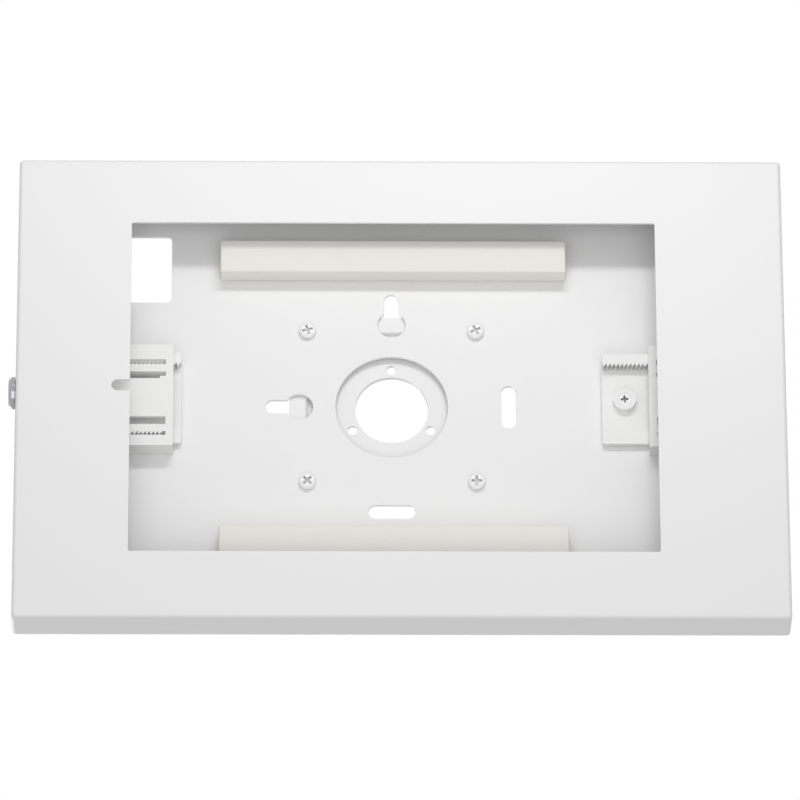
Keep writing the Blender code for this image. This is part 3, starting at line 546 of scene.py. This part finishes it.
class Finish(Tree):
    """A Principled material that is built node by node."""

    def __init__(self, name, roughness, metallic=0.0):
        self.material = bpy.data.materials.new(name)
        super().__init__(self.material)
        self.shader = self.nodes["Principled BSDF"]
        self.paint("Metallic", metallic)
        self.paint("Roughness", roughness)

    def paint(self, socket, value):
        """Feed one of the Principled shader's sockets."""
        self.feed(self.shader.inputs[socket], value)

    def place(self):
        """Return the point on the piece, in its own coordinates."""
        return self.add("ShaderNodeTexCoord", output="Object")

    def noise(self, scale, detail=2.0, roughness=0.5):
        """Return a soft random field, its scale in waves per metre."""
        sockets = {"Vector": self.place(), "Scale": scale, "Detail": detail, "Roughness": roughness}
        return self.add("ShaderNodeTexNoise", sockets=sockets)

    def cells(self, scale):
        """Return the distance to the nearest of many scattered points."""
        return self.add("ShaderNodeTexVoronoi", sockets={"Vector": self.place(), "Scale": scale})

    def ramp(self, field, low, high):
        """Return 0 where a field is under low, 1 where it is over high, and a ramp between."""
        sockets = {"Value": field, "From Min": low, "From Max": high}
        return self.add("ShaderNodeMapRange", sockets=sockets)

    def blend(self, factor, low, high):
        """Return a colour between two others."""
        sockets = {MIX_FACTOR: factor, MIX_LOW: low, MIX_HIGH: high}
        return self.add("ShaderNodeMix", {"data_type": "RGBA"}, sockets, MIX_RESULT)

    def tint(self, field, colour, least, most):
        """Vary the base colour between two shares of one colour, after a field."""
        self.paint("Base Color", self.blend(field, colour * least, colour * most))

    def dull(self, field, least, spread):
        """Vary the roughness upwards from its least value, after a field."""
        self.paint("Roughness", field * spread + least)

    def soft_corners(self, radius):
        """Return a normal that rolls over the piece's sharp edges."""
        settings = {"samples": CORNER_SAMPLES}
        return self.add("ShaderNodeBevel", settings, {"Radius": radius}, "Normal")

    def relief(self, height, depth, under=None):
        """Bend the surface by a height field that is depth metres tall."""
        sockets = {"Height": height, "Distance": depth}
        if under is not None:
            sockets["Normal"] = under
        return self.add("ShaderNodeBump", sockets=sockets, output="Normal")


def powder_coat(look):
    """White powder coat: a satin skin with a soft ripple and a fine dry grain."""
    finish = Finish("powder_coat", look.coat_roughness)
    drift = finish.noise(COAT_DRIFT, detail=1.0)
    finish.tint(drift, Vector(look.coat_colour), least=0.99, most=1.01)
    peel = finish.noise(COAT_PEEL)
    grain = finish.noise(COAT_GRAIN, roughness=0.6)
    finish.dull(grain, least=look.coat_roughness - 0.04, spread=0.08)
    soft = finish.relief(peel, look.coat_peel)
    finish.paint("Normal", finish.relief(grain, look.coat_peel * COAT_GRAIN_SHARE, soft))
    return finish.material


def screw_enamel(look):
    """White enamel on the screw heads, glossier than the coat and a little uneven."""
    finish = Finish("screw_enamel", roughness=0.3)
    run = finish.noise(ENAMEL_RUN)
    finish.tint(run, Vector(look.screw_colour), least=0.97, most=1.0)
    finish.dull(run, least=0.24, spread=0.12)
    finish.paint("Normal", finish.relief(run, ENAMEL_RELIEF, finish.soft_corners(look.screw_edge)))
    return finish.material


def screw_recess(name, colour):
    """A darker, patchy colour for the cross recesses, painted shade for the hollow; the recesses'
    true finish isn't known.
    """
    finish = Finish(name, roughness=0.45)
    film = finish.noise(RECESS_FILM)
    finish.tint(film, Vector(colour), least=0.8, most=1.15)
    finish.dull(film, least=0.35, spread=0.2)
    finish.paint("Normal", finish.relief(film, RECESS_RELIEF))
    return finish.material


def moulded_plastic(look, name, painted_shade):
    """White moulded plastic with the fine grain of a spark-eroded mould; a shade factor under 1
    darkens its white as painted shade.
    """
    finish = Finish(name, roughness=0.5)
    flow = finish.noise(PLASTIC_FLOW)
    finish.tint(flow, Vector(look.plastic_colour) * painted_shade, least=0.985, most=1.0)
    grain = finish.noise(PLASTIC_GRAIN, detail=3.0, roughness=0.7)
    finish.dull(grain, least=0.42, spread=0.14)
    corners = finish.soft_corners(look.plastic_edge)
    finish.paint("Normal", finish.relief(grain, PLASTIC_RELIEF, corners))
    return finish.material


def cut_foam(look):
    """Cream closed-cell foam: fine shallow pores with painted shade in their middles, and a soft
    mottle.
    """
    finish = Finish("cut_foam", roughness=0.95)
    cream = Vector(look.foam_colour)
    # Painted shade: the middles of the pores, where the relief dips, are a darker cream.
    pore_shade = Vector(level * share for level, share in zip(cream, PORE_SHADE_TINT))
    pores = finish.cells(FOAM_PORES)
    fine = finish.cells(FOAM_FINE_PORES)
    mottle = finish.noise(FOAM_MOTTLE, detail=3.0)
    skin = finish.blend(mottle, cream * 0.985, cream)
    beside = finish.ramp(pores, low=0.05, high=0.3)
    finish.paint("Base Color", finish.blend(beside, pore_shade, skin))
    height = pores * PORE_SHARE + fine * FINE_PORE_SHARE
    finish.paint("Normal", finish.relief(height, FOAM_RELIEF))
    return finish.material


def polished_chrome(look):
    """Bright chrome with faint smears."""
    finish = Finish("polished_chrome", roughness=0.1, metallic=1.0)
    smear = finish.noise(CHROME_SMEAR, detail=4.0)
    finish.tint(smear, Vector(look.chrome_colour), least=0.94, most=1.0)
    finish.dull(smear, least=0.05, spread=0.12)
    finish.paint("Normal", finish.relief(finish.noise(CHROME_RIPPLE), CHROME_RELIEF))
    return finish.material


def zinc_plate(look):
    """Dull zinc plating with a cloudy crystal pattern."""
    finish = Finish("zinc_plate", roughness=0.35, metallic=1.0)
    cloud = finish.noise(ZINC_CLOUD, detail=5.0, roughness=0.65)
    finish.tint(cloud, Vector(look.zinc_colour), least=0.86, most=1.06)
    finish.dull(cloud, least=0.26, spread=0.22)
    finish.paint("Normal", finish.relief(cloud, ZINC_RELIEF))
    return finish.material


def choose(piece):
    """Select one piece alone and make it active."""
    bpy.ops.object.select_all(action="DESELECT")
    piece.select_set(True)
    bpy.context.view_layer.objects.active = piece


def clothe(piece, material):
    """Give a piece one material."""
    piece.data.materials.clear()
    piece.data.materials.append(material)


def apply_modifier(piece, kind, **settings):
    """Add a modifier by its operator, set it and apply it."""
    choose(piece)
    bpy.ops.object.modifier_add(type=kind)
    modifier = piece.modifiers[-1]
    for key, value in settings.items():
        setattr(modifier, key, value)
    bpy.ops.object.modifier_apply(modifier=modifier.name)


def finished_copy(node, material, edge=0.0, segments=2, clamp=True):
    """Stand a merged copy in a CAD node's place, its edges rounded if edge isn't 0."""
    choose(FRAME["nodes"][node])
    bpy.ops.object.duplicate()
    piece = bpy.context.view_layer.objects.active
    piece.name = node + "_finished"
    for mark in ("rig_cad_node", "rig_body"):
        if mark in piece:
            del piece[mark]
    piece.parent = None
    bpy.ops.mesh.customdata_custom_splitnormals_clear()
    bpy.ops.object.mode_set(mode="EDIT")
    bpy.ops.mesh.select_all(action="SELECT")
    bpy.ops.mesh.remove_doubles(threshold=MERGE_GAP)
    bpy.ops.mesh.dissolve_limited(angle_limit=FLAT_ANGLE)
    bpy.ops.object.mode_set(mode="OBJECT")
    if edge > 0.0:
        apply_modifier(
            piece,
            "BEVEL",
            width=edge,
            segments=segments,
            limit_method="ANGLE",
            angle_limit=SHARP_ANGLE,
            use_clamp_overlap=clamp,
            miter_outer="MITER_ARC",
        )
    bpy.ops.object.shade_smooth_by_angle(angle=SMOOTH_ANGLE)
    if edge > 0.0:
        apply_modifier(piece, "WEIGHTED_NORMAL", keep_sharp=True, weight=FLAT_FACE_WEIGHT)
    clothe(piece, material)
    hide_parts(node)
    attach(piece, BODY_OF[node])
    return piece


class MOUNT_OT_coat_steel(bpy.types.Operator):
    """Finish the cover, the tray and the wall plate in white powder coat"""

    bl_idname = "mount.coat_steel"
    bl_label = "Coat the steel"

    def execute(self, context):
        look = context.scene.mount_finishes
        coat = powder_coat(look)
        for node in COATED_PIECES:
            finished_copy(node, coat, look.sheet_edge, clamp=False)
        return {"FINISHED"}


class MOUNT_OT_paint_screws(bpy.types.Operator):
    """Finish the pan head screws and the flat head screws in white enamel"""

    bl_idname = "mount.paint_screws"
    bl_label = "Paint the screws"

    def execute(self, context):
        look = context.scene.mount_finishes
        enamel = screw_enamel(look)
        pan_inside = screw_recess("pan_recess", look.pan_recess)
        flat_inside = screw_recess("flat_recess", look.flat_recess)
        for node in PAN_SCREWS + FLAT_SCREWS:
            screw = finished_copy(node, enamel)
            screw.data.materials.append(pan_inside if node in PAN_SCREWS else flat_inside)
            self.paint_recess_shade(screw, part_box(node))
        return {"FINISHED"}

    def paint_recess_shade(self, screw, box):
        """Give the walls and the floor of the cross recess the darker material, painted shade for
        the hollow.
        """
        low, high = box
        middle = (low + high) / 2
        for face in screw.data.polygons:
            away = math.hypot(face.center.x - middle.x, face.center.z - middle.z)
            depth = face.center.y - low.y
            wall = abs(face.normal.y) < FACING
            if away < RECESS_REACH and depth < RECESS_DEPTH and (wall or depth > RECESS_FLOOR):
                face.material_index = 1


class MOUNT_OT_mould_adjusters(bpy.types.Operator):
    """Finish the adjusters' bases and jaws as moulded plastic"""

    bl_idname = "mount.mould_adjusters"
    bl_label = "Mould the adjusters"

    def execute(self, context):
        look = context.scene.mount_finishes
        plastic = moulded_plastic(look, "moulded_plastic", 1.0)
        # The darker plastic for the teeth's flanks is painted shade, not a plastic of its own.
        painted_shade_plastic = moulded_plastic(look, "plastic_painted_shade", look.tooth_painted_shade)
        for node in ADJUSTERS:
            adjuster = finished_copy(node, plastic)
            if node.startswith("adjuster_base"):
                adjuster.data.materials.append(painted_shade_plastic)
                self.paint_teeth_shade(adjuster)
        return {"FINISHED"}

    def paint_teeth_shade(self, base):
        """Give the flanks of the rail's teeth the darker plastic, which paints in the shade of the
        deep gaps.
        """
        for face in base.data.polygons:
            if abs(face.normal.x) > FACING and TEETH_LOW < face.center.z < TEETH_HIGH:
                face.material_index = 1


class MOUNT_OT_cut_foam(bpy.types.Operator):
    """Cut the two foam pads, with soft edges and a slightly crowned face"""

    bl_idname = "mount.cut_foam"
    bl_label = "Cut the foam pads"

    def execute(self, context):
        look = context.scene.mount_finishes
        foam = cut_foam(look)
        for node in FOAM_PADS:
            pad = self.block(node, look)
            self.crown(pad, look.foam_crown)
            clothe(pad, foam)
            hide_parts(node)
            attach(pad, BODY_OF[node])
        return {"FINISHED"}

    def block(self, node, look):
        """Model a block of foam in the CAD pad's place."""
        low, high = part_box(node)
        bpy.ops.object.select_all(action="DESELECT")
        bpy.ops.mesh.primitive_cube_add(size=1.0, location=(low + high) / 2)
        pad = bpy.context.object
        pad.name = node + "_foam"
        pad.scale = high - low
        bpy.ops.object.transform_apply(location=True, rotation=True, scale=True)
        apply_modifier(
            pad, "BEVEL", width=look.foam_edge, segments=FOAM_EDGE_SEGMENTS, limit_method="NONE"
        )
        bpy.ops.object.mode_set(mode="EDIT")
        self.cut_cells(low, high, X_AXIS, FOAM_CELLS_ALONG)
        self.cut_cells(low, high, Z_AXIS, FOAM_CELLS_ACROSS)
        bpy.ops.object.mode_set(mode="OBJECT")
        bpy.ops.object.shade_smooth_by_angle(angle=FOAM_SMOOTH_ANGLE)
        return pad

    def cut_cells(self, low, high, axis, cells):
        """Cut the pad across one axis into equal cells, so that its face can bend."""
        normal = Vector()
        normal[axis] = 1.0
        for share in range(1, cells):
            level = low[axis] + (high[axis] - low[axis]) * share / cells
            bpy.ops.mesh.select_all(action="SELECT")
            bpy.ops.mesh.bisect(plane_co=normal * level, plane_no=normal)

    def crown(self, pad, height):
        """Sink the face towards its edges, so that its middle stands proud."""
        xs = [vertex.co.x for vertex in pad.data.vertices]
        ys = [vertex.co.y for vertex in pad.data.vertices]
        zs = [vertex.co.z for vertex in pad.data.vertices]
        middle = Vector(((min(xs) + max(xs)) / 2, 0.0, (min(zs) + max(zs)) / 2))
        half = Vector(((max(xs) - min(xs)) / 2, 0.0, (max(zs) - min(zs)) / 2))
        front, depth = min(ys), max(ys) - min(ys)
        for vertex in pad.data.vertices:
            across = abs(vertex.co.z - middle.z) / half.z
            along = abs(vertex.co.x - middle.x) / half.x
            share = 1.0 - (vertex.co.y - front) / depth
            fall = CROWN_ACROSS * across ** CROWN_ACROSS_POWER
            fall += CROWN_ALONG * along ** CROWN_ALONG_POWER
            vertex.co.y += height * share * fall


class MOUNT_OT_polish_lock(bpy.types.Operator):
    """Finish the lock's head and core in chrome"""

    bl_idname = "mount.polish_lock"
    bl_label = "Polish the lock"

    def execute(self, context):
        look = context.scene.mount_finishes
        chrome = polished_chrome(look)
        for node in CHROME_PIECES:
            finished_copy(node, chrome, look.lock_edge, segments=3)
        return {"FINISHED"}


class MOUNT_OT_plate_fittings(bpy.types.Operator):
    """Finish the hinges, the lock's cam, nut and screw and its catch in zinc"""

    bl_idname = "mount.plate_fittings"
    bl_label = "Plate the fittings"

    def execute(self, context):
        look = context.scene.mount_finishes
        zinc = zinc_plate(look)
        for node in ZINC_PIECES:
            finished_copy(node, zinc, look.zinc_edge)
        return {"FINISHED"}


class MOUNT_OT_set_stage(bpy.types.Operator):
    """Set the floor, the lights, the background and the photograph's camera"""

    bl_idname = "mount.set_stage"
    bl_label = "Set the stage"

    def execute(self, context):
        studio = context.scene.studio_setup
        self.lay_floor(studio)
        self.hang_lights(studio)
        self.light_sky(context, studio)
        self.place_camera(context, studio)
        context.scene.view_settings.view_transform = "Standard"
        return {"FINISHED"}

    def lay_floor(self, studio):
        """Lay a pale floor far below the mount, lifted towards white where it is seen."""
        bpy.ops.object.select_all(action="DESELECT")
        bpy.ops.mesh.primitive_plane_add(size=FLOOR_SIZE, location=(0.0, 0.0, -studio.floor_drop))
        floor = bpy.context.object
        floor.name = "studio_floor"
        bpy.ops.object.transform_apply(location=True, rotation=True, scale=True)
        paper = Finish("floor_paper", FLOOR_ROUGHNESS)
        paper.paint("Base Color", FLOOR_COLOUR)
        paper.paint("Emission Color", paper.background_seen() * studio.floor_glow)
        paper.paint("Emission Strength", WHITE_STRENGTH)
        clothe(floor, paper.material)

    def hang_lights(self, studio):
        """Hang the key light above, the bounce light below and the back light behind."""
        self.hang_panel(
            "key_light",
            place=(studio.key_distance, studio.key_elevation, studio.key_turn),
            size=(studio.key_width, studio.key_height),
            power=studio.key_power,
        )
        self.hang_panel(
            "bounce_light",
            place=(studio.bounce_distance, studio.bounce_elevation, 0.0),
            size=(studio.bounce_width, studio.bounce_height),
            power=studio.bounce_power,
        )
        self.hang_panel(
            "back_light",
            place=(studio.back_distance, studio.back_elevation, studio.back_turn),
            size=(studio.back_width, studio.back_height),
            power=studio.back_power,
        )

    def hang_panel(self, name, place, size, power):
        """Hang one oblong light round the mount, turned to face it."""
        distance, elevation, turn = place
        towards = Vector((
            math.sin(turn) * math.cos(elevation),
            -math.cos(turn) * math.cos(elevation),
            math.sin(elevation),
        ))
        bpy.ops.object.light_add(type="AREA", location=towards * distance)
        lamp = bpy.context.object
        lamp.name = name
        lamp.data.shape = "RECTANGLE"
        lamp.data.size, lamp.data.size_y = size
        lamp.data.energy = power
        lamp.rotation_euler = towards.to_track_quat("Z", "Y").to_euler()

    def light_sky(self, context, studio):
        """Light the mount evenly, against a white background."""
        world = context.scene.world or bpy.data.worlds.new("studio_sky")
        context.scene.world = world
        sky = Tree(world)
        sky.nodes.clear()
        even = {"Color": WHITE, "Strength": studio.sky_strength}
        light = sky.add("ShaderNodeBackground", sockets=even)
        plain = {"Color": WHITE, "Strength": WHITE_STRENGTH}
        backdrop = sky.add("ShaderNodeBackground", sockets=plain)
        mix = {0: sky.background_seen(), 1: light, 2: backdrop}
        surface = sky.add("ShaderNodeMixShader", sockets=mix)
        output = sky.nodes.new("ShaderNodeOutputWorld")
        sky.feed(output.inputs["Surface"], surface)

    def place_camera(self, context, studio):
        """Place the camera of the photograph, below the mount and looking up."""
        yaw, pitch = studio.view_yaw, studio.view_pitch
        ahead = Vector((
            math.sin(yaw) * math.cos(pitch),
            math.cos(yaw) * math.cos(pitch),
            math.sin(pitch),
        ))
        right = Vector((math.cos(yaw), -math.sin(yaw), 0.0))
        up = right.cross(ahead)
        level = Matrix((right, up, -ahead)).transposed().to_4x4()
        roll = Matrix.Rotation(studio.view_roll, 4, "Z")
        target = Vector(studio.view_target)
        bpy.ops.object.camera_add()
        camera = bpy.context.object
        camera.name = "photograph_camera"
        camera.matrix_world = (
            Matrix.Translation(target - ahead * studio.view_distance) @ level @ roll
        )
        camera.data.sensor_width = SENSOR_WIDTH
        camera.data.lens = studio.lens
        camera.data.clip_start = CLIP_START
        camera.data.clip_end = CLIP_END
        context.scene.camera = camera


class MOUNT_PT_looks(bpy.types.Panel):
    """Lists the steps that finish the mount"""

    bl_label = "Tablet wall mount"
    bl_idname = "MOUNT_PT_looks"
    bl_space_type = "VIEW_3D"
    bl_region_type = "UI"
    bl_category = "Wall Mount"

    def draw(self, context):
        column = self.layout.column()
        for step in STEPS:
            column.operator(step.bl_idname)
        for group in (context.scene.mount_finishes, context.scene.studio_setup):
            box = self.layout.box()
            for name in group.__annotations__:
                box.prop(group, name)


STEPS = (
    MOUNT_OT_coat_steel,
    MOUNT_OT_paint_screws,
    MOUNT_OT_mould_adjusters,
    MOUNT_OT_cut_foam,
    MOUNT_OT_polish_lock,
    MOUNT_OT_plate_fittings,
    MOUNT_OT_set_stage,
)
CLASSES = (MountFinishes, StudioSetup, *STEPS, MOUNT_PT_looks)


def register():
    """Register the classes and hang the settings on the scene."""
    for item in CLASSES:
        bpy.utils.register_class(item)
    bpy.types.Scene.mount_finishes = PointerProperty(type=MountFinishes)
    bpy.types.Scene.studio_setup = PointerProperty(type=StudioSetup)


def unregister():
    """Remove the settings and the classes."""
    del bpy.types.Scene.studio_setup
    del bpy.types.Scene.mount_finishes
    for item in reversed(CLASSES):
        bpy.utils.unregister_class(item)


def main():
    """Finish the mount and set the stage."""
    register()
    bpy.ops.mount.coat_steel()
    bpy.ops.mount.paint_screws()
    bpy.ops.mount.mould_adjusters()
    bpy.ops.mount.cut_foam()
    bpy.ops.mount.polish_lock()
    bpy.ops.mount.plate_fittings()
    bpy.ops.mount.set_stage()


if __name__ == "__main__":
    main()
